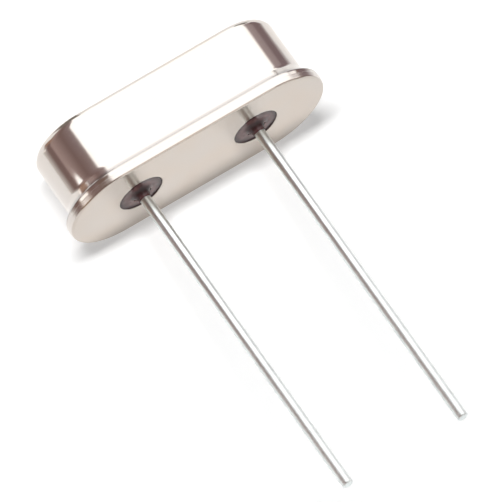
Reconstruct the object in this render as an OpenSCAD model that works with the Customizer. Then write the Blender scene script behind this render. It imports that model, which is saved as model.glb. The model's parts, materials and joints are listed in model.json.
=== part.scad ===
// Two-lead quartz crystal unit in a low drawn can with a welded flange.
//
// Each piece is drawn upright: the underside of the base is the plane z = 0, the can
// stands above it, and the leads hang below. laid() then turns the whole unit onto its
// broad side, as it comes to rest on a bench: the can's top points along +Y, the leads
// point along -Y and slant up a little, and the bench is the plane z = 0.

/* [Flange] */
// Length over the welded flange
flange_l = 10.8; // [10.6:0.05:11.4]
// Width over the welded flange
flange_w = 4.55; // [4.3:0.05:4.9]
// How far the flange stands out from the can's wall
rim_out = 0.37; // [0.3:0.01:0.5]
// Thickness of the base plate's rim
base_rim_t = 0.25; // [0.2:0.01:0.35]
// Rounding of the flange's two outer edges
rim_edge_r = 0.1; // [0.03:0.01:0.12]

/* [Can] */
// Height of the can's top above the base's underside
can_h = 3.3; // [3.1:0.05:4.2]
// Thickness of the drawn sheet
can_t = 0.2; // [0.15:0.01:0.25]
// Outer radius of the can's top edge
can_top_r = 0.42; // [0.3:0.01:0.6]
// Radius of the hollow between wall and rim, where the rim is wide enough for it
can_foot_r = 0.26; // [0.15:0.01:0.35]

/* [Base] */
// Height of the raised island's top above the underside
island_h = 0.95; // [0.8:0.05:1.2]
// Gap between the island and the can's inner wall
island_gap = 0.08; // [0.04:0.01:0.15]
// Rounding of the island's upper edge
island_edge_r = 0.2; // [0.05:0.01:0.3]
// Diameter of the two seal holes
seal_d = 1.78; // [1.5:0.02:1.9]
// Width of the broken edge round each seal hole
seal_chamfer = 0.05; // [0.02:0.01:0.08]

/* [Leads] */
// Distance between the two leads' axes
lead_pitch = 4.88; // [4.7:0.01:5.08]
// Diameter of the bare wire
lead_d = 0.43; // [0.4:0.01:0.46]
// Length of wire below the base's underside
lead_l = 13.8; // [12.7:0.1:15.5]
// Rounding of the wire's cut end
lead_tip_r = 0.09; // [0.02:0.01:0.15]
// Diameter of the wire at its inner end, after a slight even taper
lead_root_d = 0.4; // [0.36:0.01:0.4]
// Diameter of the nail head at the wire's inner end
head_d = 0.8; // [0.6:0.05:1.0]
// Thickness of the nail head
head_t = 0.12; // [0.08:0.01:0.16]
// Height of the nail head's underside above the island
head_rise = 0.14; // [0.1:0.02:0.2]

/* [Seals] */
// How far the glass lies back from each end of its hole
seal_recess = 0.05; // [0.02:0.01:0.1]
// How far the outer meniscus climbs the wire below the base's underside
outer_climb = 0.26; // [0.1:0.01:0.35]
// How far the inner meniscus climbs the wire above the glass
inner_climb = 0.12; // [0.06:0.01:0.14]
// Thickness of the glass where each meniscus ends on the wire
seal_lip = 0.02; // [0.01:0.005:0.04]
// Length of wire of full diameter that the outer meniscus covers
lip_cover = 0.04; // [0.03:0.01:0.1]

/* [Spring clips] */
// Thickness of the clip's strip
clip_t = 0.1; // [0.08:0.01:0.12]
// Width of the strip at the clip's foot and leg
clip_w = 1.2; // [1.0:0.1:1.6]
// Inner radius of the bend between foot and leg
clip_bend_r = 0.12; // [0.08:0.01:0.15]
// Gap between the plate's slot and the quartz on every side
slot_gap = 0.03; // [0.02:0.01:0.05]
// Width of the plate that is left on either side of its slot
plate_side = 0.22; // [0.15:0.01:0.3]
// Height of the plate that is left above and below its slot
plate_band = 0.27; // [0.2:0.01:0.35]
// Radius of the plate's corners
plate_corner_r = 0.15; // [0.05:0.01:0.2]
// Height of the blank's middle above the foot's underside
blank_lift = 0.9; // [0.75:0.05:1.1]

/* [Quartz blank] */
// Room between each end of the quartz strip and the can's inner wall
blank_end_gap = 1.05; // [0.8:0.05:1.3]
// Width of the quartz strip
blank_w = 1.9; // [1.6:0.05:2.1]
// Thickness of the quartz strip
blank_t = 0.16; // [0.12:0.01:0.22]
// Length of the bevel at each end of the strip
bevel_l = 0.5; // [0.3:0.05:0.6]
// Thickness that the bevel leaves at the strip's ends
bevel_end_t = 0.1; // [0.08:0.01:0.12]
// Length of blank that passes through each clip, plate included
blank_through = 0.4; // [0.3:0.05:0.6]

/* [Electrodes and cement] */
// Length of each electrode's pad
pad_l = 3.4; // [2.5:0.1:4.0]
// Bare quartz between each electrode's pad and the blank's long edges
pad_margin = 0.25; // [0.15:0.01:0.4]
// Radius of each pad's corners
pad_corner_r = 0.15; // [0.05:0.01:0.3]
// Width of the tab that leads from each pad to its clip
tab_w = 0.6; // [0.4:0.05:0.8]
// Thickness of the electrode films
film_t = 0.012; // [0.01:0.001:0.02]
// Distance that each cement drop spreads from the plate
drop_spread = 0.42; // [0.3:0.02:0.5]
// Height of each cement drop
drop_h = 0.16; // [0.1:0.01:0.2]

/* [Hidden] */
$fn = 64;

nickel = "#d9d2c8";
base_nickel = "#cdc4b9";
seal_glass = "#4a3536";
tinned = "#dcdcda";
spring_metal = "#c2b59a";
quartz = "#e6eef2";
silver = "#e2e2e6";
cement_grey = "#8f8f8c";

// Sizes that follow from the ones above
eps = 0.01;
rim_top = base_rim_t + can_t;
run = flange_l - flange_w; // straight stretch of flange, can and island between round ends
cavity_l = flange_l - 2 * (rim_out + can_t);
can_w = flange_w - 2 * rim_out;
cavity_w = can_w - 2 * can_t;
cavity_top_r = can_top_r - can_t;
foot_r = min(can_foot_r, rim_out - rim_edge_r);
island_w = cavity_w - 2 * island_gap;
lead_x = lead_pitch / 2;
head_z = island_h + head_rise;
taper_z = outer_climb - lip_cover;
foot_z = head_z + head_t;
blank_z = foot_z + blank_lift;
blank_l = cavity_l - 2 * blank_end_gap;
plate_x = blank_l / 2 - blank_through;
slot = [blank_w + 2 * slot_gap, blank_t + 2 * slot_gap];
plate = [slot.x + 2 * plate_side, slot.y + 2 * plate_band];
pad_w = blank_w - 2 * pad_margin;

// The bench touches the rim's upper corner and the can's top edge, so the unit tilts by the
// angle of the line that is tangent to both roundings.
rim_corner = [rim_top - rim_edge_r, flange_w / 2 - rim_edge_r];
top_corner = [can_h - can_top_r, can_w / 2 - can_top_r];
corner_step = top_corner - rim_corner;
rest_tilt = atan2(-corner_step.y, corner_step.x)
    - asin((can_top_r - rim_edge_r) / norm(corner_step));
rest_z = rim_corner.y * cos(rest_tilt) + rim_corner.x * sin(rest_tilt) + rim_edge_r;
// The frame's origin is midway between the lead tips and the can's top along Y
top_y = top_corner.x * cos(rest_tilt) + top_corner.y * sin(rest_tilt) + can_top_r;
tip_y = -(lead_l * cos(rest_tilt) + lead_d / 2 * sin(rest_tilt));
mid_y = (top_y + tip_y) / 2;

// Turns the upright unit onto its broad side and sets it down on the plane z = 0
module laid() {
    translate([0, -mid_y, rest_z]) rotate([-90 - rest_tilt, 0, 0]) children();
}

// A body with straight sides and round ends, from the half section in its children:
// x is the distance from the middle plane, y the height
module stadium() {
    for (end = [-1, 1])
        translate([end * run / 2, 0, 0]) rotate([0, 0, -end * 90]) rotate_extrude(angle = 180)
            children();
    rotate([90, 0, 90]) translate([0, 0, -run / 2]) linear_extrude(run) {
        children();
        mirror([1, 0]) children();
    }
}

// Half section of a block from the middle plane out to half_w, with its upper outer edge
// rounded
module block_section(half_w, z0, z1, r) {
    translate([0, z0]) square([half_w, z1 - z0 - r]);
    translate([0, z1 - r]) square([half_w - r, r]);
    intersection() {
        translate([half_w - r, z1 - r]) circle(r);
        translate([half_w - r, z1 - r]) square(r);
    }
}

// The corner between a wall at x and a floor at z, filled up to a hollow of radius r
module hollow_section(x, z, r) {
    difference() {
        translate([x - eps, z - eps]) square(r + eps);
        translate([x + r, z + r]) circle(r);
    }
}

// Outside of the can: round-edged body, hollow foot and turned-out rim
module can_outside() {
    stadium() {
        block_section(can_w / 2, rim_top - eps, can_h, can_top_r);
        hollow_section(can_w / 2, rim_top, foot_r);
    }
    stadium() block_section(flange_w / 2, base_rim_t, rim_top, rim_edge_r);
}

// Inside of the can, one sheet thickness from the outside, flared where the rim turns out
module can_cavity() {
    stadium() {
        block_section(cavity_w / 2, base_rim_t - eps, can_h - can_t, cavity_top_r);
        hollow_section(cavity_w / 2, base_rim_t, foot_r + can_t);
    }
}

module can() {
    color(nickel) laid() difference() {
        can_outside();
        can_cavity();
    }
}

module seal_hole() {
    translate([0, 0, -eps]) cylinder(d = seal_d, h = island_h + 2 * eps);
    translate([0, 0, -eps])
        cylinder(r1 = seal_d / 2 + seal_chamfer + eps, r2 = seal_d / 2, h = seal_chamfer + eps);
}

module base() {
    color(base_nickel) laid() difference() {
        union() {
            stadium() difference() {
                square([flange_w / 2, base_rim_t]);
                translate([flange_w / 2 - rim_edge_r, 0]) difference() {
                    square(rim_edge_r + eps);
                    translate([0, rim_edge_r]) circle(rim_edge_r);
                }
            }
            stadium() block_section(island_w / 2, base_rim_t - eps, island_h, island_edge_r);
        }
        for (side = [-1, 1]) translate([side * lead_x, 0, 0]) seal_hole();
    }
}

// The wire inside the glass: straight under the lip of the outer meniscus, then narrowing
// evenly to the head
module buried_wire() {
    translate([0, 0, -outer_climb]) cylinder(d = lead_d, h = lip_cover);
    translate([0, 0, -taper_z])
        cylinder(r1 = lead_d / 2, r2 = lead_root_d / 2, h = taper_z + head_z);
}

// Half section of a meniscus: it climbs from the glass at height z, over a height of climb,
// to a lip on the wire
module meniscus_section(z, climb) {
    translate([0, z - eps]) difference() {
        square([lead_d / 2 + seal_lip + climb, climb + eps]);
        translate([lead_d / 2 + seal_lip + climb, climb + eps]) circle(climb);
    }
}

module glass_seal(side) {
    color(seal_glass) laid() translate([side * lead_x, 0, 0]) difference() {
        rotate_extrude() {
            translate([0, seal_recess]) square([seal_d / 2, island_h - 2 * seal_recess]);
            meniscus_section(island_h - seal_recess, inner_climb);
            mirror([0, 1]) meniscus_section(-seal_recess, outer_climb + seal_recess);
        }
        buried_wire();
    }
}

module lead(side) {
    color(tinned) laid() translate([side * lead_x, 0, 0]) {
        rotate_extrude() {
            mirror([0, 1]) block_section(lead_d / 2, outer_climb, lead_l, lead_tip_r);
            translate([0, head_z]) square([head_d / 2, head_t]);
        }
        buried_wire();
    }
}

// A rectangle with round corners about the origin
module rounded_rect(size, r) {
    square([size.x - 2 * r, size.y], center = true);
    square([size.x, size.y - 2 * r], center = true);
    for (x = [-1, 1], y = [-1, 1])
        translate([x * (size.x / 2 - r), y * (size.y / 2 - r)]) circle(r);
}

// Turns an outline drawn as seen from the front of the unit upright, and gives it a depth
// of y0 to y1
module upright(y0, y1) {
    translate([0, y1, 0]) rotate([90, 0, 0]) linear_extrude(y1 - y0) children();
}

// Side view of the clip's strip: foot on the nail head, bend, and leg up to the plate's top
module clip_side_view() {
    bend_r = clip_bend_r + clip_t;
    bend_x = plate_x - clip_bend_r;
    foot_x = lead_x - head_d / 2;
    translate([foot_x, 0]) square([bend_x - foot_x, clip_t]);
    translate([plate_x, bend_r]) square([clip_t, blank_lift + plate.y / 2 - bend_r]);
    translate([bend_x, bend_r]) intersection() {
        difference() {
            circle(bend_r);
            circle(clip_bend_r);
        }
        translate([0, -bend_r]) square(bend_r);
    }
}

// Front view of the clip: a leg that widens to a plate with a slot for the blank
module clip_front_view() {
    translate([-clip_w / 2, 0]) square([clip_w, blank_lift - plate.y / 2 + plate_corner_r]);
    translate([0, blank_lift]) difference() {
        rounded_rect(plate, plate_corner_r);
        square(slot, center = true);
    }
}

// Puts what is drawn for the right side on the side asked for: -1 left, 1 right
module on_side(side) {
    mirror([side < 0 ? 1 : 0, 0, 0]) children();
}

module clip(side) {
    color(spring_metal) laid() on_side(side) translate([0, 0, foot_z]) intersection() {
        upright(-plate.x / 2, plate.x / 2) clip_side_view();
        rotate([90, 0, 90]) linear_extrude(blank_l / 2) clip_front_view();
    }
}

// The quartz strip about the origin, bevelled on both faces at both ends
module blank_body() {
    flat_x = blank_l / 2 - bevel_l;
    upright(-blank_w / 2, blank_w / 2) polygon([
        [-flat_x, blank_t / 2], [flat_x, blank_t / 2],
        [blank_l / 2, bevel_end_t / 2], [blank_l / 2, -bevel_end_t / 2],
        [flat_x, -blank_t / 2], [-flat_x, -blank_t / 2],
        [-blank_l / 2, -bevel_end_t / 2], [-blank_l / 2, bevel_end_t / 2],
    ]);
}

module quartz_blank() {
    color(quartz) laid() translate([0, 0, blank_z]) blank_body();
}

// The film on one face of the blank: a pad in the middle and a tab to one end. Turned half
// over about Y, the upper film with its tab to the left is the lower one with its tab to
// the right.
module film(turn) {
    rotate([0, turn, 0]) translate([0, 0, blank_t / 2]) linear_extrude(film_t) {
        rounded_rect([pad_l, pad_w], pad_corner_r);
        translate([bevel_l - blank_l / 2, -tab_w / 2]) square([blank_l / 2 - bevel_l, tab_w]);
    }
}

module electrode(turn) {
    color(silver) laid() translate([0, 0, blank_z]) film(turn);
}

// Half of a round drop of cement against the plate, and the cement that fills the slot
// beside it
module cement_drop() {
    ball_r = (drop_spread * drop_spread + drop_h * drop_h) / (2 * drop_h);
    intersection() {
        translate([plate_x, 0, blank_t / 2 + drop_h - ball_r]) sphere(ball_r);
        translate([plate_x - drop_spread, -drop_spread, blank_t / 2])
            cube([drop_spread, 2 * drop_spread, drop_h]);
    }
    translate([plate_x, -drop_spread, 0])
        cube([clip_t, 2 * drop_spread, blank_t / 2 + slot_gap]);
}

// One drop on each face of the blank; the film's tab runs under one of them
module cement(side) {
    color(cement_grey) laid() translate([0, 0, blank_z]) difference() {
        for (turn = [0, 180]) rotate([turn, 0, 0]) on_side(side) cement_drop();
        blank_body();
        film(side < 0 ? 0 : 180);
    }
}

can();
base();
glass_seal(-1);  // glass_seal_left
glass_seal(1);  // glass_seal_right
lead(-1);  // lead_left
lead(1);  // lead_right
clip(-1);  // clip_left
clip(1);  // clip_right
quartz_blank();
electrode(0);  // electrode_top
electrode(180);  // electrode_bottom
cement(-1);  // cement_left
cement(1);  // cement_right
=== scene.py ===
# %% [markdown]
# # A two-lead quartz crystal unit, lying on white paper
#
# The object is a small drawn can of nickel-plated metal, welded by its flange to a stamped
# base. Two tinned wires leave the base through beads of dark glass. Almost all of what the
# eye sees on such a part is reflection, so this lesson is about three things: outlines with
# true round edges, metal that is neither mirror nor paint, and a small studio of lamps and
# cards that gives the metal something to reflect.
#
# The CAD frame is loaded first. Its nodes are the real pieces at their real places, and
# nothing here moves them.

import json
import math

import bmesh
import bpy
from mathutils import Matrix, Vector


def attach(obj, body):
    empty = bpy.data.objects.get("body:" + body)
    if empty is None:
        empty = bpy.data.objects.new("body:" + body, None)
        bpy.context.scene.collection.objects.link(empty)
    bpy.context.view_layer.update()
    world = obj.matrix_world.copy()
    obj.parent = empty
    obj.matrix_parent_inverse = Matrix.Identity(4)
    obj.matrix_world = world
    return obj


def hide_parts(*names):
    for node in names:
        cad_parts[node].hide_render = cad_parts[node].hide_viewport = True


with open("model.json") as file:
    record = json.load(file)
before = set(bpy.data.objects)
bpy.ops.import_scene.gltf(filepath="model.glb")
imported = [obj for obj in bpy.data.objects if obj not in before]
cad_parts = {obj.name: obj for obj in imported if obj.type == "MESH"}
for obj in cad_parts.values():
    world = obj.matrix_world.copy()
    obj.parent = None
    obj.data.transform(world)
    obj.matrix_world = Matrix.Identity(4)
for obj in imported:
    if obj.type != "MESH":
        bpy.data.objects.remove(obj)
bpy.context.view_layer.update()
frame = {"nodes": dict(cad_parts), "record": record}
nodes = frame["nodes"]
record = frame["record"]

# %% [markdown]
# ## Two frames of reference
#
# The unit lies on its broad side, a little tilted, but it is far easier to model standing
# upright: underside of the base at height zero, can above, leads below, and everything in
# millimetres. The seat mount gives the way from one frame to the other, because its point
# is the middle of the underside and its axis points out of it. `LAID` carries a point from
# the upright frame to the object's own, and its inverse lets the script measure a CAD node
# as if it stood upright.

# %% From the upright frame, in millimetres, to the object's frame, in metres
MM = 0.001
mounts = {mount["name"]: mount for mount in record["mounts"]}
seat = Vector(mounts["seat"]["pos_m"])
up_axis = -Vector(mounts["seat"]["axis"]).normalized()
length_axis = Vector((1, 0, 0))
width_axis = up_axis.cross(length_axis)
turn = Matrix((length_axis, width_axis, up_axis)).transposed().to_4x4()
LAID = Matrix.Translation(seat) @ turn @ Matrix.Scale(MM, 4)
TILT = math.degrees(math.asin(-up_axis.z))
print("the unit lies tilted by", round(TILT, 2), "degrees")


def upright_box(name):
    """Lowest and highest corner of a CAD node in the upright frame, in millimetres."""
    back = LAID.inverted()
    points = [back @ vertex.co for vertex in nodes[name].data.vertices]
    low = Vector(min(point[axis] for point in points) for axis in range(3))
    high = Vector(max(point[axis] for point in points) for axis in range(3))
    return low, high


# %% Measure the pieces that the eye sees
base_low, base_high = upright_box("base")
can_low, can_high = upright_box("can")
glass_low, glass_high = upright_box("glass_seal_right")
lead_low, lead_high = upright_box("lead_right")

FLANGE_HALF_W = (base_high.y - base_low.y) / 2
RUN = (base_high.x - base_low.x) - 2 * FLANGE_HALF_W
RIM_JOINT = can_low.z
CAN_TOP = can_high.z
ISLAND_TOP = base_high.z
LEAD_X = (lead_high.x + lead_low.x) / 2
LEAD_END = lead_low.z
HEAD_TOP = lead_high.z
HEAD_R = (lead_high.x - lead_low.x) / 2
SEAL_R = (glass_high.x - glass_low.x) / 2
GLASS_LOW = glass_low.z
GLASS_HIGH = glass_high.z
LEAD_R = mounts["lead_right"]["dims"]["r_mm"]
print("flange half width", round(FLANGE_HALF_W, 3), "straight run", round(RUN, 3))
print("can top", round(CAN_TOP, 3), "lead end", round(LEAD_END, 3), "at x", round(LEAD_X, 3))

# %% [markdown]
# ## Sizes that the frame can't tell
#
# Wall thickness and edge radii can't be read from a box, so they are named here, in
# millimetres.

# %% Wall and edges
SHEET = 0.2            # the can's drawn sheet
RIM_OUT = 0.37         # flange beyond the can's wall
CAN_TOP_R = 0.42       # outer radius of the can's top edge
FOOT_R = 0.26          # hollow between wall and rim, on the inside
FLARE_RISE = 0.43      # where the wall starts to lean out towards the rim
FLARE_OUT = 0.17       # how far it has leant out at the rim
FLARE_BEND = 0.07      # length of the bend there
FOOT_BEND = 0.10       # length of the bend at the foot of the flare
RIM_LEAN = 0.04        # the trimmed edge leans in this far where the rims meet
RIM_EDGE_R = 0.07      # outer edge of the can's rim
BASE_DRAFT = 0.045     # the base's side leans in this far towards the underside
BASE_EDGE_R = 0.08     # outer edge of the base
JOINT_R = 0.015        # broken edges where the two rims meet
ISLAND_GAP = 0.08      # island to the can's inner wall
ISLAND_EDGE_R = 0.2    # upper edge of the island
HOLE_EDGE_R = 0.05     # rounded edge of each seal hole
HOLE_LAND = 0.03       # flat ring kept round that edge
GLASS_RECESS = 0.05    # glass below the metal on both sides
GLASS_LIP = 0.02       # glass left where a meniscus ends
WALL_CREEP_R = 0.035   # hollow where the glass wets the hole's wall
TIP_R = 0.09           # wire's cut end
ROOT_R = 0.2           # wire's radius at its inner end
LIP_COVER = 0.04       # full wire under the glass lip
HEAD_T = 0.12          # nail head's thickness

CAN_HALF_W = FLANGE_HALF_W - RIM_OUT
CAVITY_HALF_W = CAN_HALF_W - SHEET
RIM_TOP = RIM_JOINT + SHEET
ISLAND_HALF_W = CAVITY_HALF_W - ISLAND_GAP

# %% [markdown]
# ## Outlines
#
# Stamped, drawn and blown shapes all have a section that is carried round a path. A section
# starts here as a wire of a few corner points, and `bmesh.ops.bevel` on a corner's vertex
# rounds it with a true arc, since a profile of 0.5 is a circle. This is better than bevelling
# the finished solid: the arc is exact, the faces stay in clean rows, and each corner keeps
# its own radius.
#
# Polished metal shows every fault of the shading. Where a long straight meets an arc, the
# shared normal would lean a little and the whole straight would look bent. So each straight
# gets a cut close to either end, and the lean stays in that narrow strip.

# %% A wire outline with rounded corners
ARC_STEPS = 10
HOLD = 0.02


def held(corners):
    """The same corners, with a plain point close to either end of each long straight."""
    points = [corners[0]]
    for (out, up, radius), (next_out, next_up, next_radius) in zip(corners, corners[1:]):
        length = math.hypot(next_out - out, next_up - up)
        if length - radius - next_radius > 4 * HOLD:
            for share in ((radius + HOLD) / length, 1 - (next_radius + HOLD) / length):
                between = out + share * (next_out - out), up + share * (next_up - up)
                points.append((*between, 0))
        points.append((next_out, next_up, next_radius))
    return points


def outline(corners):
    """Wire in the plane y = 0 through (out, up, corner radius) points; no radius is sharp."""
    bm = bmesh.new()
    points = held(corners)
    verts = [bm.verts.new((out, 0, up)) for out, up, radius in points]
    for pair in zip(verts, verts[1:]):
        bm.edges.new(pair)
    for vert, (out, up, radius) in zip(verts, points):
        if radius:
            bmesh.ops.bevel(
                bm, geom=[vert], offset=radius, offset_type="OFFSET", segments=ARC_STEPS,
                profile=0.5, affect="VERTICES", material=-1,
            )
    return bm


# %% [markdown]
# ## Carrying a section round
#
# Two paths are enough. The can, its flange and the base follow a slot: a half turn, a
# straight run, another half turn and a straight run back. `spin` makes the half turns, and
# extruding the wire and moving it makes the runs. The seals and leads are turned on a
# lathe: one full `spin`. Both leave doubled vertices on axes and seams, which are merged
# before the normals are recalculated.

# %% Two sweeps
END_STEPS = 48
LATHE_STEPS = 96
MERGE = 1e-5


def close_up(bm):
    """Merges seams and poles, drops what they left flat, and points the faces outwards."""
    bmesh.ops.remove_doubles(bm, verts=bm.verts, dist=MERGE)
    bmesh.ops.dissolve_degenerate(bm, edges=bm.edges, dist=MERGE)
    bmesh.ops.recalc_face_normals(bm, faces=bm.faces)


def sweep_slot(bm, run):
    """Carries a wire that stands outwards along +X once round a slot with a straight run."""
    wire = bm.verts[:] + bm.edges[:]
    quarter = Matrix.Rotation(-math.pi / 2, 3, "Z")
    bmesh.ops.rotate(bm, verts=bm.verts, cent=(0, 0, 0), matrix=quarter)
    bmesh.ops.translate(bm, verts=bm.verts, vec=(run / 2, 0, 0))
    for end in (1, -1):
        spun = bmesh.ops.spin(
            bm, geom=wire, cent=(end * run / 2, 0, 0), axis=(0, 0, 1), angle=math.pi,
            steps=END_STEPS, use_merge=False, use_duplicate=False,
        )
        edges = [item for item in spun["geom_last"] if isinstance(item, bmesh.types.BMEdge)]
        grown = bmesh.ops.extrude_edge_only(bm, edges=edges)["geom"]
        wire = [item for item in grown if not isinstance(item, bmesh.types.BMFace)]
        verts = [item for item in wire if isinstance(item, bmesh.types.BMVert)]
        bmesh.ops.translate(bm, verts=verts, vec=(-end * run, 0, 0))


def sweep_lathe(bm, x):
    """Turns a wire once about the upright line through (x, 0)."""
    bmesh.ops.spin(
        bm, geom=bm.verts[:] + bm.edges[:], cent=(0, 0, 0), axis=(0, 0, 1),
        angle=2 * math.pi, steps=LATHE_STEPS, use_merge=True, use_duplicate=False,
    )
    bmesh.ops.translate(bm, verts=bm.verts, vec=(x, 0, 0))


# %% Turn a finished bmesh into a piece
CREASE = math.radians(40)


def piece_from(bm, name, node):
    """Lays the upright bmesh in place as an object that stands for a CAD node."""
    bm.transform(LAID)
    mesh = bpy.data.meshes.new(name)
    bm.to_mesh(mesh)
    bm.free()
    mesh.shade_smooth()
    mesh.set_sharp_from_angle(angle=CREASE)
    piece = bpy.data.objects.new(name, mesh)
    bpy.context.scene.collection.objects.link(piece)
    normals = piece.modifiers.new("flat faces stay flat", "WEIGHTED_NORMAL")
    normals.keep_sharp = True
    normals.weight = 100
    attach(piece, "root")
    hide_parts(node)
    low, high = (Vector(corner) for corner in (piece.bound_box[0], piece.bound_box[6]))
    print(name, len(mesh.polygons), "faces,", [round(side / MM, 2) for side in high - low], "mm")
    return piece


# %% [markdown]
# ## The can
#
# The can is one sheet, drawn deep and then pressed outwards at its mouth to make the rim
# that is welded. So the wire runs over the outside, round the rim's edge and back up the
# inside: the sheet has its real thickness and the top edge is soft. Low down the wall leans
# out before it turns into the rim, because the sheet was bent over a sloping die. In a
# mirror-bright can that lean matters more than its size: it is where the reflection jumps.
# The rim's cut edge leans in a little too, as a trimmed edge does.

# %% Draw the can
can_wire = outline([
    (0, CAN_TOP, 0),
    (CAN_HALF_W, CAN_TOP, CAN_TOP_R),
    (CAN_HALF_W, RIM_TOP + FLARE_RISE, FLARE_BEND),
    (CAN_HALF_W + FLARE_OUT, RIM_TOP, FOOT_BEND),
    (FLANGE_HALF_W, RIM_TOP, RIM_EDGE_R),
    (FLANGE_HALF_W - RIM_LEAN, RIM_JOINT, JOINT_R),
    (CAVITY_HALF_W, RIM_JOINT, FOOT_R + SHEET),
    (CAVITY_HALF_W, CAN_TOP - SHEET, CAN_TOP_R - SHEET),
    (0, CAN_TOP - SHEET, 0),
])
sweep_slot(can_wire, RUN)
close_up(can_wire)
can = piece_from(can_wire, "drawn_can", "can")

# %% [markdown]
# ## The base
#
# The base is stamped: a thin rim to weld to, an island that plugs the can, and two holes.
# Its outer band is swept like the can, and its side has the slight draft of a stamping. The
# holes are turned on the same lathe as the leads, each with a small round edge. That leaves
# two flat faces with holes in them, and `triangle_fill` closes each between its outer loop
# and its two inner loops.

# %% Stamp the base
EDGE_BAND = 0.08       # flat band kept between the round edge and the filled face
FLAT_HALF_W = FLANGE_HALF_W - BASE_EDGE_R - EDGE_BAND
ISLAND_FLAT_HALF_W = ISLAND_HALF_W - 2 * ISLAND_EDGE_R


def seal_hole(x):
    """The wall of one seal hole, with a round edge at the underside."""
    bm = outline([
        (SEAL_R + HOLE_EDGE_R + HOLE_LAND, 0, 0),
        (SEAL_R, 0, HOLE_EDGE_R),
        (SEAL_R, ISLAND_TOP, 0),
    ])
    sweep_lathe(bm, x)
    return bm


def join_into(bm, other):
    """Adds another bmesh to this one, and frees it."""
    mesh = bpy.data.meshes.new("passing through")
    other.to_mesh(mesh)
    other.free()
    bm.from_mesh(mesh)
    bpy.data.meshes.remove(mesh)


def fill_flat(bm, height, normal):
    """Closes the flat face at a height between all the open loops that lie there."""
    loops = [
        edge for edge in bm.edges
        if edge.is_boundary and all(abs(vert.co.z - height) < MERGE for vert in edge.verts)
    ]
    bmesh.ops.triangle_fill(bm, use_beauty=True, edges=loops, normal=normal)


base_bm = outline([
    (FLAT_HALF_W, 0, 0),
    (FLANGE_HALF_W - BASE_DRAFT, 0, BASE_EDGE_R),
    (FLANGE_HALF_W, RIM_JOINT, JOINT_R),
    (ISLAND_HALF_W, RIM_JOINT, 0),
    (ISLAND_HALF_W, ISLAND_TOP, ISLAND_EDGE_R),
    (ISLAND_FLAT_HALF_W, ISLAND_TOP, 0),
])
sweep_slot(base_bm, RUN)
for hole_x in (-LEAD_X, LEAD_X):
    join_into(base_bm, seal_hole(hole_x))
bmesh.ops.remove_doubles(base_bm, verts=base_bm.verts, dist=MERGE)
fill_flat(base_bm, 0, (0, 0, -1))
fill_flat(base_bm, ISLAND_TOP, (0, 0, 1))
close_up(base_bm)
base = piece_from(base_bm, "stamped_base", "base")

# %% [markdown]
# ## The glass seals
#
# Molten glass wets metal. It climbs the wire in a smooth hollow cone and creeps a little
# way up the wall of its hole, so there is no sharp corner anywhere on its free face. The
# outline's two hollow arcs are those two creeps. Inside, the bead follows the CAD's wire,
# which narrows a little there.

# %% Fuse the seals
WIRE_TAPER_LOW = GLASS_LOW + LIP_COVER
HEAD_LOW = HEAD_TOP - HEAD_T
NECK_R = LEAD_R + (ROOT_R - LEAD_R) * (GLASS_HIGH - WIRE_TAPER_LOW) / (HEAD_LOW - WIRE_TAPER_LOW)
OUTER_CLIMB = GLASS_RECESS - GLASS_LOW
INNER_FLAT = ISLAND_TOP - GLASS_RECESS
INNER_CLIMB = GLASS_HIGH - INNER_FLAT
WHOLE_LEG = 0.999      # a bend that takes nearly the whole of its leg


def glass_bead(x):
    """One bead of sealing glass about the lead at x."""
    bm = outline([
        (LEAD_R, WIRE_TAPER_LOW, 0),
        (LEAD_R, GLASS_LOW, 0),
        (LEAD_R + GLASS_LIP, GLASS_LOW, 0),
        (LEAD_R + GLASS_LIP, GLASS_RECESS, OUTER_CLIMB * WHOLE_LEG),
        (SEAL_R - GLASS_LIP / 2, GLASS_RECESS, WALL_CREEP_R),
        (SEAL_R - GLASS_LIP / 2, GLASS_RECESS - WALL_CREEP_R, 0),
        (SEAL_R, GLASS_RECESS - WALL_CREEP_R, 0),
        (SEAL_R, INNER_FLAT, 0),
        (LEAD_R + GLASS_LIP, INNER_FLAT, INNER_CLIMB * WHOLE_LEG),
        (LEAD_R + GLASS_LIP, GLASS_HIGH, 0),
        (NECK_R, GLASS_HIGH, 0),
        (LEAD_R, WIRE_TAPER_LOW, 0),
    ])
    sweep_lathe(bm, x)
    close_up(bm)
    return bm


# %% [markdown]
# ## The leads
#
# Each lead is a straight length of round wire. Its free end was sheared and tumbled, so
# its edge is soft. The hidden end has a flat nail head that a spring clip is welded to. A
# real wire keeps its thickness all the way. Here it narrows by 0.03 mm through the glass,
# because the CAD's wire does and this one has to fill the same place.

# %% Turn the leads
def wire_lead(x):
    """One lead about the line through x."""
    bm = outline([
        (0, LEAD_END, 0),
        (LEAD_R, LEAD_END, TIP_R),
        (LEAD_R, WIRE_TAPER_LOW, 0),
        (ROOT_R, HEAD_LOW, 0),
        (HEAD_R, HEAD_LOW, 0),
        (HEAD_R, HEAD_TOP, 0),
        (0, HEAD_TOP, 0),
    ])
    sweep_lathe(bm, x)
    close_up(bm)
    return bm


SIDES = {"left": -LEAD_X, "right": LEAD_X}
seals = {}
leads = {}
for side, x in SIDES.items():
    bead, wire = glass_bead(x), wire_lead(x)
    seals[side] = piece_from(bead, "glass_bead_" + side, "glass_seal_" + side)
    leads[side] = piece_from(wire, "wire_lead_" + side, "lead_" + side)

# %% [markdown]
# ## Sums of sockets
#
# A finish is a pattern worked out from numbers, and node trees of sums are hard to read as
# nested calls. `Wire` wraps one output socket and lets Python's own operators add the Math
# nodes, so a pattern reads like the sum it is. `Shader.node` makes every other node: its
# settings first, then its sockets. Colours are only ever blended by `Shader.blend`.

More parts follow.
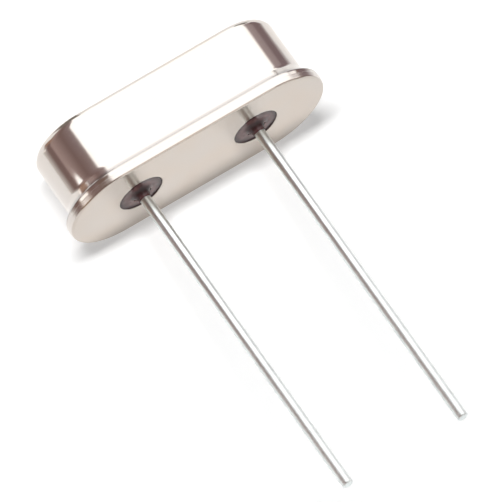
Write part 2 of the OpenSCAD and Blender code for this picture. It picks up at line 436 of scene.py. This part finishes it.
# %% One class for sums, one for trees
class Wire:
    """One output socket that can be used in sums."""

    def __init__(self, shader, socket):
        self.shader = shader
        self.socket = socket

    def __add__(self, other):
        return self.shader.math("ADD", self, other)

    def __radd__(self, other):
        return self.shader.math("ADD", other, self)

    def __sub__(self, other):
        return self.shader.math("SUBTRACT", self, other)

    def __rsub__(self, other):
        return self.shader.math("SUBTRACT", other, self)

    def __mul__(self, other):
        return self.shader.math("MULTIPLY", self, other)

    def __rmul__(self, other):
        return self.shader.math("MULTIPLY", other, self)

    def __pow__(self, other):
        return self.shader.math("POWER", self, other)

    def at_least(self, other):
        """The larger of two values."""
        return self.shader.math("MAXIMUM", self, other)


class Shader:
    """A node tree, one method that adds any node to it, and short forms for frequent ones."""

    def __init__(self, tree):
        self.tree = tree
        tree.nodes.clear()

    def node(self, kind, settings=None, inputs=None, output=0):
        """Adds a node, sets it up, joins it, and returns one of its outputs."""
        made = self.tree.nodes.new(kind)
        for key, value in (settings or {}).items():
            if key == "stops":
                self.set_stops(made.color_ramp.elements, value)
            else:
                setattr(made, key, value)
        for key, value in (inputs or {}).items():
            if isinstance(value, Wire):
                self.tree.links.new(value.socket, made.inputs[key])
            else:
                made.inputs[key].default_value = value
        return Wire(self, made.outputs[output]) if made.outputs else made

    def math(self, operation, *terms):
        """One step of a sum."""
        return self.node("ShaderNodeMath", {"operation": operation}, dict(enumerate(terms)))

    def part(self, where, axis):
        """The X, Y or Z of a vector."""
        return self.node("ShaderNodeSeparateXYZ", None, {0: where}, axis)

    def set_stops(self, elements, stops):
        """Gives a ramp its (position, colour) stops."""
        while len(elements) < len(stops):
            elements.new(0)
        for element, (position, colour) in zip(elements, stops):
            element.position = position
            element.color = colour

    def blend(self, share, first, second):
        """Blends two colours."""
        return self.node("ShaderNodeMix", {"data_type": "RGBA"}, {0: share, 6: first, 7: second}, 2)

    def noise(self, where, scale, detail=2.0, roughness=0.5):
        """A soft random pattern between 0 and 1."""
        sockets = {"Vector": where, "Scale": scale, "Detail": detail, "Roughness": roughness}
        return self.node("ShaderNodeTexNoise", {"noise_dimensions": "3D"}, sockets)

    def ramp(self, value, low, high):
        """0 below low, 1 above high, and a soft step between."""
        sockets = {"Value": value, "From Min": low, "From Max": high}
        return self.node("ShaderNodeMapRange", {"interpolation_type": "SMOOTHSTEP"}, sockets)

    def bump(self, height, depth, under=None):
        """A normal from a height pattern that is depth metres deep."""
        sockets = {"Height": height, "Distance": depth, "Strength": 1.0}
        if under:
            sockets["Normal"] = under
        return self.node("ShaderNodeBump", None, sockets)


# %% [markdown]
# ## Where a pattern is
#
# Every finish below is laid out in the upright frame, in millimetres: streaks of drawing run
# along the can's height, and marks of the wire die along the wire. A Mapping node set to
# TEXTURE undoes the turn, the shift and the scale of `LAID`, so Object coordinates come out
# upright. A second one may squeeze them, which draws a noise out into streaks.

# %% Start a finish in upright millimetres
def finish(name):
    """A new material's Shader, and its upright coordinates in millimetres."""
    material = bpy.data.materials.new(name)
    material.use_nodes = True
    shader = Shader(material.node_tree)
    here = shader.node("ShaderNodeTexCoord", output="Object")
    settings = {"vector_type": "TEXTURE"}
    angles = LAID.to_euler()
    sockets = {"Vector": here, "Location": seat, "Rotation": angles, "Scale": (MM, MM, MM)}
    upright = shader.node("ShaderNodeMapping", settings, sockets)
    return material, shader, upright


def stretched(shader, where, factors):
    """The same coordinates, squeezed by a factor along each axis."""
    return shader.node("ShaderNodeMapping", None, {"Vector": where, "Scale": factors})


def surface(shader, sockets):
    """Ends a tree in a Principled surface."""
    made = shader.node("ShaderNodeBsdfPrincipled", None, sockets)
    shader.node("ShaderNodeOutputMaterial", None, {"Surface": made})


# %% [markdown]
# ## Nickel
#
# Nickel plate reflects about two thirds of the light, with a slight warmth. The drawn can
# shows very fine upright streaks and a faint swell where the sheet flowed into the die. The
# base was barrelled, so it has no direction, only a soft mottling. Both are set by one
# function with different streaks.
#
# The plate is painted darker in two places, and both are painted shade. Low on the can a
# darker line follows the rim and stands in for the dark reflection at the foot of the wall.
# The underside of the base is a darker copy of the nickel on its trimmed side, which dims
# the white paper that it mirrors. Both are told by the height in the upright frame.

# %% Nickel on drawn and on barrelled metal
CAN_WARM = (0.665, 0.607, 0.556, 1)
CAN_COOL = (0.657, 0.612, 0.576, 1)
# painted shade: the underside of the base gets a darker copy of the nickel, which dims the paper it
# mirrors
SHADED_UNDER_WARM = (0.550, 0.484, 0.425, 1)
SHADED_UNDER_COOL = (0.545, 0.494, 0.447, 1)
# painted shade: a darker nickel for the line low on the can, in place of the foot's dark reflection
PAINTED_SHADE_NICKEL = (0.48, 0.45, 0.43, 1)
SIDE_FROM = (0.03, 0.12)   # heights, in millimetres, over which the underside's painted shade gives way to the side's nickel
SHADE_LINE_FROM = (0.34, 0.42)   # over which the can's painted shade line comes in
SHADE_LINE_TO = (0.56, 0.68)     # and goes out again
DRAWN_STREAKS = (16, 16, 1.5)
DRAWN_ROUGH = (0.08, 0.20)
BARREL_MOTTLE = (7, 7, 7)
BARREL_ROUGH = (0.15, 0.26)
NICKEL_SWELL = 2e-6        # metres
STREAK_DEPTH = 2e-7


def nickel(name, streaks, rough_range, colour_of):
    """Nickel plate with streaks squeezed by the given factors, and a faint swell."""
    material, shader, upright = finish(name)
    tint = shader.noise(upright, 0.55, 3.0)
    streak = shader.noise(stretched(shader, upright, streaks), 1.0, 4.0, 0.6)
    cloud = shader.noise(upright, 1.3, 2.0)
    height = shader.part(upright, "Z")
    colour = colour_of(shader, shader.ramp(tint, 0.35, 0.65), height)
    smooth, rougher = rough_range
    rough = smooth + (rougher - smooth) * (0.6 * streak + 0.4 * cloud)
    wave = shader.bump(shader.noise(upright, 0.45, 1.0), NICKEL_SWELL)
    fine = shader.bump(streak, STREAK_DEPTH, wave)
    surface(shader, {"Base Color": colour, "Metallic": 1.0, "Roughness": rough, "Normal": fine})
    return material


def can_colour(shader, tint, height):
    """Bright nickel, with a darker line painted low on the can as painted shade for the foot's dark
    reflection.
    """
    bright = shader.blend(tint, CAN_WARM, CAN_COOL)
    # painted shade: the line low on the can is given the darker nickel
    painted_line = shader.ramp(height, *SHADE_LINE_FROM) * (1 - shader.ramp(height, *SHADE_LINE_TO))
    return shader.blend(painted_line, bright, PAINTED_SHADE_NICKEL)


def base_colour(shader, tint, height):
    """Darker nickel underneath as painted shade, as bright as the can's on the trimmed side."""
    # painted shade: the darker copy of the nickel on the underside
    under = shader.blend(tint, SHADED_UNDER_WARM, SHADED_UNDER_COOL)
    side = shader.blend(tint, CAN_WARM, CAN_COOL)
    return shader.blend(shader.ramp(height, *SIDE_FROM), under, side)


drawn_nickel = nickel("drawn_nickel", DRAWN_STREAKS, DRAWN_ROUGH, can_colour)
barrelled_nickel = nickel("barrelled_nickel", BARREL_MOTTLE, BARREL_ROUGH, base_colour)
can.data.materials.append(drawn_nickel)
base.data.materials.append(barrelled_nickel)

# %% [markdown]
# ## Sealing glass
#
# The glass of such seals is nearly opaque, a dark brown with a breath of violet from the
# metal oxides in it. It is painted darker where it meets the wall and the wire, as painted
# shade of the hollow round the wire and of the hole's wall, and a little paler and cloudy
# between. It is glossy, with a hair of unevenness from the furnace. The distance from the
# wire tells the colour where it is.

# %% Dark sealing glass
GLASS_DEEP_AND_SHADED = (0.085, 0.036, 0.038, 1)
GLASS_PALE = (0.300, 0.150, 0.145, 1)
GLASS_IOR = 1.38
GLASS_SWELL = 3e-6            # metres
WIRE_SHADE_FADES = (0.28, 0.50)   # millimetres from the wire's axis over which the painted shade by the wire fades
WALL_SHADE_COMES = (0.62, 0.86)    # and over which the painted shade at the wall comes in


def sealing_glass():
    """Dark glossy glass with painted shade by the wall and the wire, a little paler and cloudy
    between.
    """
    material, shader, upright = finish("sealing_glass")
    across = shader.math("ABSOLUTE", shader.part(upright, "X")) - LEAD_X
    aside = shader.part(upright, "Y")
    off_axis = (across * across + aside * aside) ** 0.5
    # painted shade: the glass turns to its deep colour towards the wire and towards the wall
    between = shader.ramp(off_axis, *WIRE_SHADE_FADES) * (1 - shader.ramp(off_axis, *WALL_SHADE_COMES))
    cloud = 0.45 + 0.55 * shader.ramp(shader.noise(upright, 2.2, 3.0), 0.3, 0.7)
    colour = shader.blend(between * cloud, GLASS_DEEP_AND_SHADED, GLASS_PALE)
    rough = 0.06 + 0.08 * shader.noise(upright, 6.0, 2.0)
    skin = shader.bump(shader.noise(upright, 1.6, 2.0), GLASS_SWELL)
    sockets = {"Base Color": colour, "Roughness": rough, "Normal": skin, "IOR": GLASS_IOR}
    surface(shader, sockets)
    return material


glass = sealing_glass()
for bead in seals.values():
    bead.data.materials.append(glass)

# %% [markdown]
# ## Tinned wire
#
# Dipped tin is cooler than nickel and more satin. Drawing through a die leaves hair lines
# along the wire, and the tin has a slight grain. The outer part of each wire was dipped once
# more, so it is duller than the part near the glass.

# %% Bright tin with lines along the wire
TIN_BRIGHT = (0.76, 0.80, 0.79, 1)
TIN_DULL = (0.68, 0.715, 0.71, 1)
DIE_LINES = (26, 26, 0.8)     # fine across the wire, long along it
LINE_DEPTH = 1.5e-7           # metres
GRAIN_DEPTH = 4e-7
DIPPED = (2.0, 11.0)          # millimetres below the base over which the second dip comes in


def tinned_wire():
    """Tin plate with hair lines along the wire."""
    material, shader, upright = finish("tinned_wire")
    lines = shader.noise(stretched(shader, upright, DIE_LINES), 1.0, 3.0, 0.6)
    grain = shader.noise(upright, 3.0, 3.0)
    colour = shader.blend(shader.ramp(grain, 0.35, 0.7), TIN_BRIGHT, TIN_DULL)
    height = shader.part(upright, "Z")
    dipped = shader.ramp(0 - height, *DIPPED)
    rough = 0.24 + 0.16 * dipped + 0.10 * (0.5 * lines + 0.5 * grain)
    skin = shader.bump(lines, LINE_DEPTH, shader.bump(grain, GRAIN_DEPTH))
    surface(shader, {"Base Color": colour, "Metallic": 1.0, "Roughness": rough, "Normal": skin})
    return material


tin = tinned_wire()
for lead in leads.values():
    lead.data.materials.append(tin)

# %% [markdown]
# ## What is sealed inside
#
# The clips, the quartz strip with its two films, and the drops of cement keep their CAD
# meshes, because those shapes are right as they are. They get real finishes all the same:
# rolled strip, etched quartz, evaporated silver and silver-filled cement.

# %% Rolled clip strip, etched quartz, silver film and cement
STRIP_WARM = (0.74, 0.66, 0.52, 1)
STRIP_COOL = (0.70, 0.66, 0.58, 1)
QUARTZ_CLEAR = (0.93, 0.96, 0.97, 1)
QUARTZ_FROST = (0.86, 0.90, 0.92, 1)
SILVER_BRIGHT = (0.92, 0.92, 0.91, 1)
SILVER_MATT = (0.84, 0.84, 0.85, 1)
CEMENT_DARK = (0.34, 0.34, 0.33, 1)
CEMENT_FLAKE = (0.66, 0.66, 0.65, 1)


def clip_strip():
    """Rolled strip with grain along its length."""
    material, shader, upright = finish("rolled_strip")
    grain = shader.noise(stretched(shader, upright, (2, 20, 2)), 1.0, 4.0)
    colour = shader.blend(shader.ramp(grain, 0.3, 0.7), STRIP_WARM, STRIP_COOL)
    sockets = {"Base Color": colour, "Metallic": 1.0, "Roughness": 0.2 + 0.2 * grain}
    sockets["Normal"] = shader.bump(grain, 3e-7)
    surface(shader, sockets)
    return material


def etched_quartz():
    """Clear quartz with a lapped and etched skin."""
    material, shader, upright = finish("etched_quartz")
    frost = shader.noise(upright, 9.0, 5.0, 0.7)
    colour = shader.blend(shader.ramp(frost, 0.35, 0.65), QUARTZ_CLEAR, QUARTZ_FROST)
    sockets = {"Base Color": colour, "Roughness": 0.12 + 0.25 * frost, "IOR": 1.54}
    sockets["Transmission Weight"] = 0.85
    sockets["Normal"] = shader.bump(frost, 4e-7)
    surface(shader, sockets)
    return material


def silver_film():
    """Evaporated silver, bright with a fine grain."""
    material, shader, upright = finish("evaporated_silver")
    grain = shader.noise(upright, 12.0, 4.0)
    colour = shader.blend(shader.ramp(grain, 0.3, 0.7), SILVER_BRIGHT, SILVER_MATT)
    sockets = {"Base Color": colour, "Metallic": 1.0, "Roughness": 0.12 + 0.12 * grain}
    surface(shader, sockets)
    return material


def silver_cement():
    """Cement filled with silver flakes, which shine out of a matt grey."""
    material, shader, upright = finish("flaked_silver_cement")
    cells = {"Vector": upright, "Scale": 26.0}
    flake = shader.node("ShaderNodeTexVoronoi", {"feature": "F1"}, cells, "Distance")
    shine = 1 - shader.ramp(flake, 0.12, 0.35)
    colour = shader.blend(shine, CEMENT_DARK, CEMENT_FLAKE)
    sockets = {"Base Color": colour, "Metallic": 0.7 * shine, "Roughness": 0.75 - 0.4 * shine}
    sockets["Normal"] = shader.bump(flake, 2e-6)
    surface(shader, sockets)
    return material


HIDDEN_FINISHES = {
    clip_strip: ("clip_left", "clip_right"),
    etched_quartz: ("quartz_blank",),
    silver_film: ("electrode_top", "electrode_bottom"),
    silver_cement: ("cement_left", "cement_right"),
}
for make, names in HIDDEN_FINISHES.items():
    material = make()
    for name in names:
        nodes[name].data.materials.clear()
        nodes[name].data.materials.append(material)
    print(material.name, "on", ", ".join(names))

# %% [markdown]
# ## White paper
#
# The part lies on white paper under soft light. The paper is a diffuse white. A little
# light of its own, seen only by the camera and in reflections, lifts it to clean white
# while it keeps the object's shadow.

# %% The floor
PAPER_WHITE = (0.8, 0.8, 0.8, 1)
PAPER_GLOW = 0.37
FLOOR_SIDE = 3.0       # metres, as is everything in the studio from here on


def seen_by_eye_or_mirror(shader):
    """1 for camera, glossy and transmission rays, 0 for the rest."""
    camera = shader.node("ShaderNodeLightPath", output="Is Camera Ray")
    glossy = shader.node("ShaderNodeLightPath", output="Is Glossy Ray")
    through = shader.node("ShaderNodeLightPath", output="Is Transmission Ray")
    return camera.at_least(glossy).at_least(through)


def paper():
    """Diffuse white paper with a glow for the camera and for reflections."""
    material = bpy.data.materials.new("white_paper")
    material.use_nodes = True
    shader = Shader(material.node_tree)
    glow = seen_by_eye_or_mirror(shader) * PAPER_GLOW
    diffuse = shader.node("ShaderNodeBsdfDiffuse", None, {"Color": PAPER_WHITE})
    light = shader.node("ShaderNodeEmission", None, {"Strength": glow})
    both = shader.node("ShaderNodeAddShader", None, {0: diffuse, 1: light})
    shader.node("ShaderNodeOutputMaterial", None, {"Surface": both})
    return material


def stage_piece(bm, name, material):
    """Makes a bmesh, already in metres, part of the studio."""
    mesh = bpy.data.meshes.new(name)
    bm.to_mesh(mesh)
    bm.free()
    mesh.materials.append(material)
    made = bpy.data.objects.new(name, mesh)
    bpy.context.scene.collection.objects.link(made)
    return made


floor_bm = bmesh.new()
bmesh.ops.create_grid(floor_bm, x_segments=1, y_segments=1, size=FLOOR_SIDE / 2)
stage_piece(floor_bm, "paper_floor", paper())

# %% [markdown]
# ## Lamps
#
# Two jobs are kept apart. A strip lamp high over the part, a little behind it and to its
# left, draws the short shadow in front of the base. The strip lies along the base, so that
# shadow has a clean edge, while the thin shadows of the wires, which run the other way, melt
# away. The white room fills the rest. What the metal mirrors is set up after this, and gives
# no light of its own.

# %% The lamp that draws the shadow
LAMP_LEAN = Vector((-0.12, 0.225, 1.0))
LAMP_DISTANCE = 1.0
LAMP_LENGTH = 0.55
LAMP_WIDTH = 0.11
LAMP_POWER = 9.2

lamp_light = bpy.data.lights.new("shadow_lamp", "AREA")
lamp_light.shape = "RECTANGLE"
lamp_light.size = LAMP_LENGTH
lamp_light.size_y = LAMP_WIDTH
lamp_light.energy = LAMP_POWER
lamp = bpy.data.objects.new("shadow_lamp", lamp_light)
bpy.context.scene.collection.objects.link(lamp)
lamp_back = LAMP_LEAN.normalized()
lamp_side = lamp_back.cross(length_axis).normalized()
lamp_turn = Matrix((lamp_side.cross(lamp_back), lamp_side, lamp_back)).transposed().to_4x4()
lamp.matrix_world = Matrix.Translation(lamp_back * LAMP_DISTANCE) @ lamp_turn
lamp.visible_camera = False
lamp.visible_glossy = False
print("lamp at", [round(value, 2) for value in lamp.location])

# %% The room
ROOM_FILL = 0.09
ROOM_WHITE = (1, 1, 1, 1)

room = bpy.data.worlds.new("white_room")
bpy.context.scene.world = room
room.use_nodes = True
air = Shader(room.node_tree)
seen = seen_by_eye_or_mirror(air)
strength = ROOM_FILL + (1 - ROOM_FILL) * seen
sockets = {"Color": ROOM_WHITE, "Strength": strength}
background = air.node("ShaderNodeBackground", None, sockets)
air.node("ShaderNodeOutputWorld", None, {"Surface": background})

# %% [markdown]
# ## What the metal mirrors
#
# Metal shows its surroundings. A white sweep hangs overhead, comes down behind the part and
# makes the broad face bright. Its left edge runs off at a slant, and its right edge turns
# outwards at the back. Beyond its sides the studio is dim, which draws the dark bands down
# the can's round ends. Cards in front and low cards beside the part carry the bands on below
# the horizon and round the rim. All of it is seen only in mirrors, so it neither lights nor
# shades.

# %% Helpers for surfaces that are seen only in mirrors
def mirrored_only(bm, name, material):
    """Makes a bmesh a studio piece that shows in reflections and nowhere else."""
    made = stage_piece(bm, name, material)
    made.visible_camera = False
    made.visible_diffuse = False
    made.visible_shadow = False
    return made


def glowing(name, stops, position_of):
    """A material that glows in a ramp's colours, by a position worked out from coordinates."""
    material = bpy.data.materials.new(name)
    material.use_nodes = True
    shader = Shader(material.node_tree)
    here = shader.node("ShaderNodeTexCoord", output="Object")
    at = {axis: shader.part(here, axis) for axis in "XYZ"}
    position = {"Fac": position_of(shader, at)}
    colour = shader.node("ShaderNodeValToRGB", {"stops": stops}, position)
    light = shader.node("ShaderNodeEmission", None, {"Color": colour, "Strength": 1.0})
    shader.node("ShaderNodeOutputMaterial", None, {"Surface": light})
    return material


def plain_glow(name, colour):
    """A material that glows in one colour: a ramp whose two ends are the same."""
    return glowing(name, [(0, colour), (1, colour)], lambda shader, at: at["Z"])


def raised(bm, points, way):
    """Draws an edge between two points and draws it out along a way into one face."""
    edge = bm.edges.new([bm.verts.new(point) for point in points])
    grown = bmesh.ops.extrude_edge_only(bm, edges=[edge])["geom"]
    far_edge = [item for item in grown if isinstance(item, bmesh.types.BMVert)]
    bmesh.ops.translate(bm, verts=far_edge, vec=way)


# %% The white sweep
SWEEP_HEIGHT = 0.30
SWEEP_FRONT = -0.52
SWEEP_BACK = 0.75
SWEEP_BEND = 0.2
SWEEP_RIGHT = 0.60
SWEEP_RIGHT_TURN = 0.32
SWEEP_RIGHT_SLANT = 0.47
SWEEP_FADE = 0.09
SWEEP_LEFT_AT_PART = -0.139
SWEEP_LEFT_SLANT = 0.18
SWEEP_WHITE = (1.8, 1.8, 1.8, 1)
MAUVE = (0.43, 0.35, 0.36, 1)
PLUM = (0.27, 0.20, 0.21, 1)
BROWN = (0.24, 0.16, 0.15, 1)
PALE_BROWN = (0.48, 0.36, 0.34, 1)

SWEEP_RIGHT_FAR = SWEEP_RIGHT + SWEEP_RIGHT_SLANT * (SWEEP_BACK - SWEEP_RIGHT_TURN)
corners = [
    (SWEEP_RIGHT, SWEEP_FRONT, SWEEP_HEIGHT),
    (SWEEP_RIGHT, SWEEP_RIGHT_TURN, SWEEP_HEIGHT),
    (SWEEP_RIGHT_FAR, SWEEP_BACK, SWEEP_HEIGHT),
    (SWEEP_RIGHT_FAR, SWEEP_BACK, 0),
]
sweep_bm = bmesh.new()
wire = [sweep_bm.verts.new(corner) for corner in corners]
for pair in zip(wire, wire[1:]):
    sweep_bm.edges.new(pair)
bmesh.ops.bevel(
    sweep_bm, geom=[wire[2]], offset=SWEEP_BEND, offset_type="OFFSET", segments=ARC_STEPS,
    profile=0.5, affect="VERTICES", material=-1,
)
grown = bmesh.ops.extrude_edge_only(sweep_bm, edges=sweep_bm.edges[:])["geom"]
for item in grown:
    if isinstance(item, bmesh.types.BMVert):
        item.co.x = SWEEP_LEFT_AT_PART + SWEEP_LEFT_SLANT * item.co.y


def share_inside_right_edge(shader, at):
    """0 at the sweep's right edge, which turns outwards at the back, and 1 where it is white."""
    slanting = (at["Y"] - SWEEP_RIGHT_TURN) * SWEEP_RIGHT_SLANT + SWEEP_RIGHT
    return (slanting.at_least(SWEEP_RIGHT) - at["X"]) * (1 / SWEEP_FADE)


sweep_stops = [(0, MAUVE), (1, SWEEP_WHITE)]
sweep_glow = glowing("white_sweep", sweep_stops, share_inside_right_edge)
mirrored_only(sweep_bm, "white_sweep", sweep_glow)

# %% The dim studio round it
DIM_RADIUS = 0.9
DIM_Y = (0.16, 4.0)
DIM_STEPS = 48
# tone of the studio by angle, in degrees up from the right: mauve walls, darker low down
# on the right, brown on the left, with one paler board there near the floor
DIM_TONES = {0: PLUM, 12: MAUVE, 85: MAUVE, 138: BROWN, 168: PALE_BROWN, 180: BROWN}
dim_stops = [(angle / 180, tone) for angle, tone in DIM_TONES.items()]
dim_bm = bmesh.new()
ends = [dim_bm.verts.new((DIM_RADIUS, y, 0)) for y in DIM_Y]
bmesh.ops.spin(
    dim_bm, geom=[*ends, dim_bm.edges.new(ends)], cent=(0, 0, 0), axis=(0, -1, 0),
    angle=math.pi, steps=DIM_STEPS, use_merge=False, use_duplicate=False,
)
far_end = [vert for vert in dim_bm.verts if vert.co.y > DIM_Y[1] - MERGE]
bmesh.ops.contextual_create(dim_bm, geom=far_end)
by_angle = glowing(
    "dim_studio", dim_stops,
    lambda shader, at: shader.math("ARCTAN2", at["Z"], at["X"]) * (1 / math.pi),
)
mirrored_only(dim_bm, "dim_studio", by_angle)

# %% The same dimness on the left, in front of the part
FRONT_Y = (-1.2, 0.16)
FRONT_FROM = math.radians(104)

front_bm = bmesh.new()
start = Vector((math.cos(FRONT_FROM), 0, math.sin(FRONT_FROM))) * DIM_RADIUS
ends = [front_bm.verts.new(start + Vector((0, y, 0))) for y in FRONT_Y]
bmesh.ops.spin(
    front_bm, geom=[*ends, front_bm.edges.new(ends)], cent=(0, 0, 0), axis=(0, -1, 0),
    angle=math.pi - FRONT_FROM, steps=DIM_STEPS // 2, use_merge=False, use_duplicate=False,
)
mirrored_only(front_bm, "dim_front_left", by_angle)

# %% Cards in front
CARD_RIGHT_X = 0.75
CARD_LEFT_X = -0.75
WINDOW_X = -0.70
CARD_FOOT = 0.16       # the right cards are brown below this height
DIM_BROWN = (0.46, 0.39, 0.36, 1)
DARK_BROWN = (0.217, 0.120, 0.087, 1)
WOOD_BROWN = (0.457, 0.326, 0.250, 1)


def upright_card(name, x, y_range, z_range, colour):
    """An upright card across X, seen only in mirrors."""
    bm = bmesh.new()
    raised(bm, [(x, y, z_range[0]) for y in y_range], (0, 0, z_range[1] - z_range[0]))
    mirrored_only(bm, name, plain_glow(name, colour))


upright_card("white_card_right", CARD_RIGHT_X, (-0.12, 0.13), (CARD_FOOT, 0.7), SWEEP_WHITE)
upright_card("dim_card_right", CARD_RIGHT_X, (-0.6, -0.12), (CARD_FOOT, 0.7), DIM_BROWN)
upright_card("brown_card_right", CARD_RIGHT_X, (-0.6, 0.13), (0, CARD_FOOT), DARK_BROWN)
upright_card("brown_card_left", CARD_LEFT_X, (-1.2, 0.13), (0, 0.6), WOOD_BROWN)
upright_card("window_left", WINDOW_X, (-0.02, 0.10), (0.12, 0.42), SWEEP_WHITE)

# %% [markdown]
# ## Cards close by
#
# The round ends look past the horizon, down to the white paper. In a real tray something
# always lies near and shows there as a dark edge. Here these are low cards a few
# millimetres away. Each is placed by a line of sight: from the camera to a spot on the
# metal, off the metal, and on to where the card must stand. Their far ends stop short
# where the rim's foot should see white again.

# %% Low cards round the part
LOW_CARD_TOP = 4.5
PALE = (1.0, 1.0, 1.0, 1)
WARM_PALE = (0.84, 0.82, 0.79, 1)
RUST = (0.435, 0.277, 0.207, 1)
SLATE = (0.261, 0.239, 0.217, 1)
FADE_RIGHT = 2.2 * MM        # heights over which the pale foot of a card turns dark
FADE_RIGHT_FAR = 1.6 * MM
FADE_LEFT = 2.6 * MM
RIGHT_LEVEL_AT = 8.3 * MM    # where the right card's fade starts from the paper
RIGHT_SLANT = 0.24           # and how fast its foot darkens with the distance


def low_card(name, start, end, material):
    """An upright card between two points of the floor, in millimetres."""
    bm = bmesh.new()
    feet = [(x * MM, y * MM, 0) for x, y in (start, end)]
    raised(bm, feet, (0, 0, LOW_CARD_TOP * MM))
    mirrored_only(bm, name, material)


def fading(name, foot, top, fade):
    """A glow that turns from one colour at the foot to another at a height."""
    return glowing(name, [(0, foot), (1, top)], lambda shader, at: at["Z"] * (1 / fade))


def slanting_fade(shader, at):
    """A height that grows with the distance behind the part."""
    return (at["Z"] + (at["Y"] - RIGHT_LEVEL_AT) * RIGHT_SLANT) * (1 / FADE_RIGHT)


low_card(
    "low_card_right", (9.3, 4.5), (16.8, 19.3),
    glowing("low_card_right", [(0, PALE), (1, PLUM)], slanting_fade),
)
low_card(
    "low_card_right_far", (10, 14.6), (10, 22),
    fading("low_card_right_far", PALE, SLATE, FADE_RIGHT_FAR),
)
low_card(
    "low_card_left", (-12.6, 4.5), (-12.6, 14),
    fading("low_card_left", WARM_PALE, BROWN, FADE_LEFT),
)
low_card("low_card_left_far", (-12.6, 14), (-8.8, 14), plain_glow("low_card_left_far", RUST))
low_card("low_card_behind", (-5.5, 14), (-1.9, 14), plain_glow("low_card_behind", SLATE))

# %% [markdown]
# ## The dark lens side
#
# Two mirrors at a right angle throw light straight back. The base and a wire are such a
# pair, so just above each seal the base shows the wire with the lens in it, and a lens is
# dark, and so are the hands and the stand beside it. A level card round the camera's line
# of sight gives that streak its depth. It has a pale gap where the base's long edge looks,
# which would otherwise be drawn as a dark line, and a left part for the rim's end.

# %% A dark card round the line of sight
LENS_HEIGHT = 0.21
LENS_X = (-0.15, 0.42)
LENS_DARK = (0.08, 0.045, 0.035, 1)
GAP_PALE = (1.10, 1.05, 1.00, 1)
LENS_STOPS = [
    (0.18, (0.22, 0.15, 0.125, 1)),
    (0.23, LENS_DARK),
    (0.28, LENS_DARK),
    (0.33, GAP_PALE),
    (0.42, GAP_PALE),
    (0.47, (0.36, 0.29, 0.26, 1)),
    (1.00, DIM_BROWN),
]
lens_side = glowing(
    "lens_side", LENS_STOPS,
    lambda shader, at: (at["X"] - LENS_X[0]) * (1 / (LENS_X[1] - LENS_X[0])),
)


def lens_card(name, x_range, y_range):
    """A level card at the lens's height."""
    bm = bmesh.new()
    near_edge = [(x, y_range[0], LENS_HEIGHT) for x in x_range]
    raised(bm, near_edge, (0, y_range[1] - y_range[0], 0))
    mirrored_only(bm, name, lens_side)


lens_card("lens_side", LENS_X, (-0.30, -0.04))
lens_card("lens_side_left", (LENS_X[0], -0.04), (-0.04, 0.065))

# %% [markdown]
# ## Glints
#
# Small lights leave small spots. Two bright ovals stand where the metal at the left end
# looks, each at a few millimetres' distance, so each draws one spot there and nothing
# elsewhere.

# %% Two small bright ovals that draw the glints at the can's left end
GLINT_DISTANCE = 4.3 * MM
# name: spot on the metal in millimetres, way from it to the oval, oval's half sizes
GLINTS = {
    "glint_on_wall": ((-4.40, 5.82, 3.64), (-0.861, 0.426, 0.276), (0.74, 0.70)),
    "glint_at_foot": ((-4.61, 5.87, 3.59), (-0.567, 0.774, -0.280), (0.14, 0.28)),
}
for name, (mirror_point, way, half) in GLINTS.items():
    way = Vector(way).normalized()
    across = up_axis.cross(way).normalized()
    place = Matrix.Translation(Vector(mirror_point) * MM + way * GLINT_DISTANCE)
    faced = Matrix((across.cross(way), across, way)).transposed().to_4x4()
    size = Matrix.Diagonal((half[0] * MM, half[1] * MM, 1, 1))
    oval = bmesh.new()
    bmesh.ops.create_circle(
        oval, cap_ends=True, segments=32, radius=1.0, matrix=place @ faced @ size,
    )
    mirrored_only(oval, name, plain_glow(name, SWEEP_WHITE))

# %% [markdown]
# ## Camera
#
# The part was seen from above and from its left, through a long lens at a distance, which
# leaves almost no perspective. The camera is given as a photographer would say it: where
# it stands round the object, how high, how far it is rolled, and how many millimetres of
# the scene its frame spans.

# %% The camera
AZIMUTH = math.radians(-42.55)
ELEVATION = math.radians(70.78)
ROLL = math.radians(10.78)
AIM = Vector((-0.010, 1.4625, 1.3655)) * MM
FRAME_SPAN = 18.062 * MM
CAMERA_DISTANCE = 0.75
SENSOR = 36.0

back = Vector((
    math.sin(AZIMUTH) * math.cos(ELEVATION),
    -math.cos(AZIMUTH) * math.cos(ELEVATION),
    math.sin(ELEVATION),
))
level_right = Vector((0, 0, 1)).cross(back).normalized()
right = Matrix.Rotation(ROLL, 3, back) @ level_right
look = Matrix((right, back.cross(right), back)).transposed().to_4x4()

lens = bpy.data.cameras.new("camera")
lens.sensor_width = SENSOR
lens.lens = SENSOR * CAMERA_DISTANCE / FRAME_SPAN
lens.clip_start = 0.01
lens.clip_end = 10
camera = bpy.data.objects.new("camera", lens)
bpy.context.scene.collection.objects.link(camera)
camera.matrix_world = Matrix.Translation(AIM + back * CAMERA_DISTANCE) @ look
bpy.context.scene.camera = camera
bpy.context.scene.view_settings.view_transform = "Standard"
print("lens", round(lens.lens), "mm at", CAMERA_DISTANCE, "m")
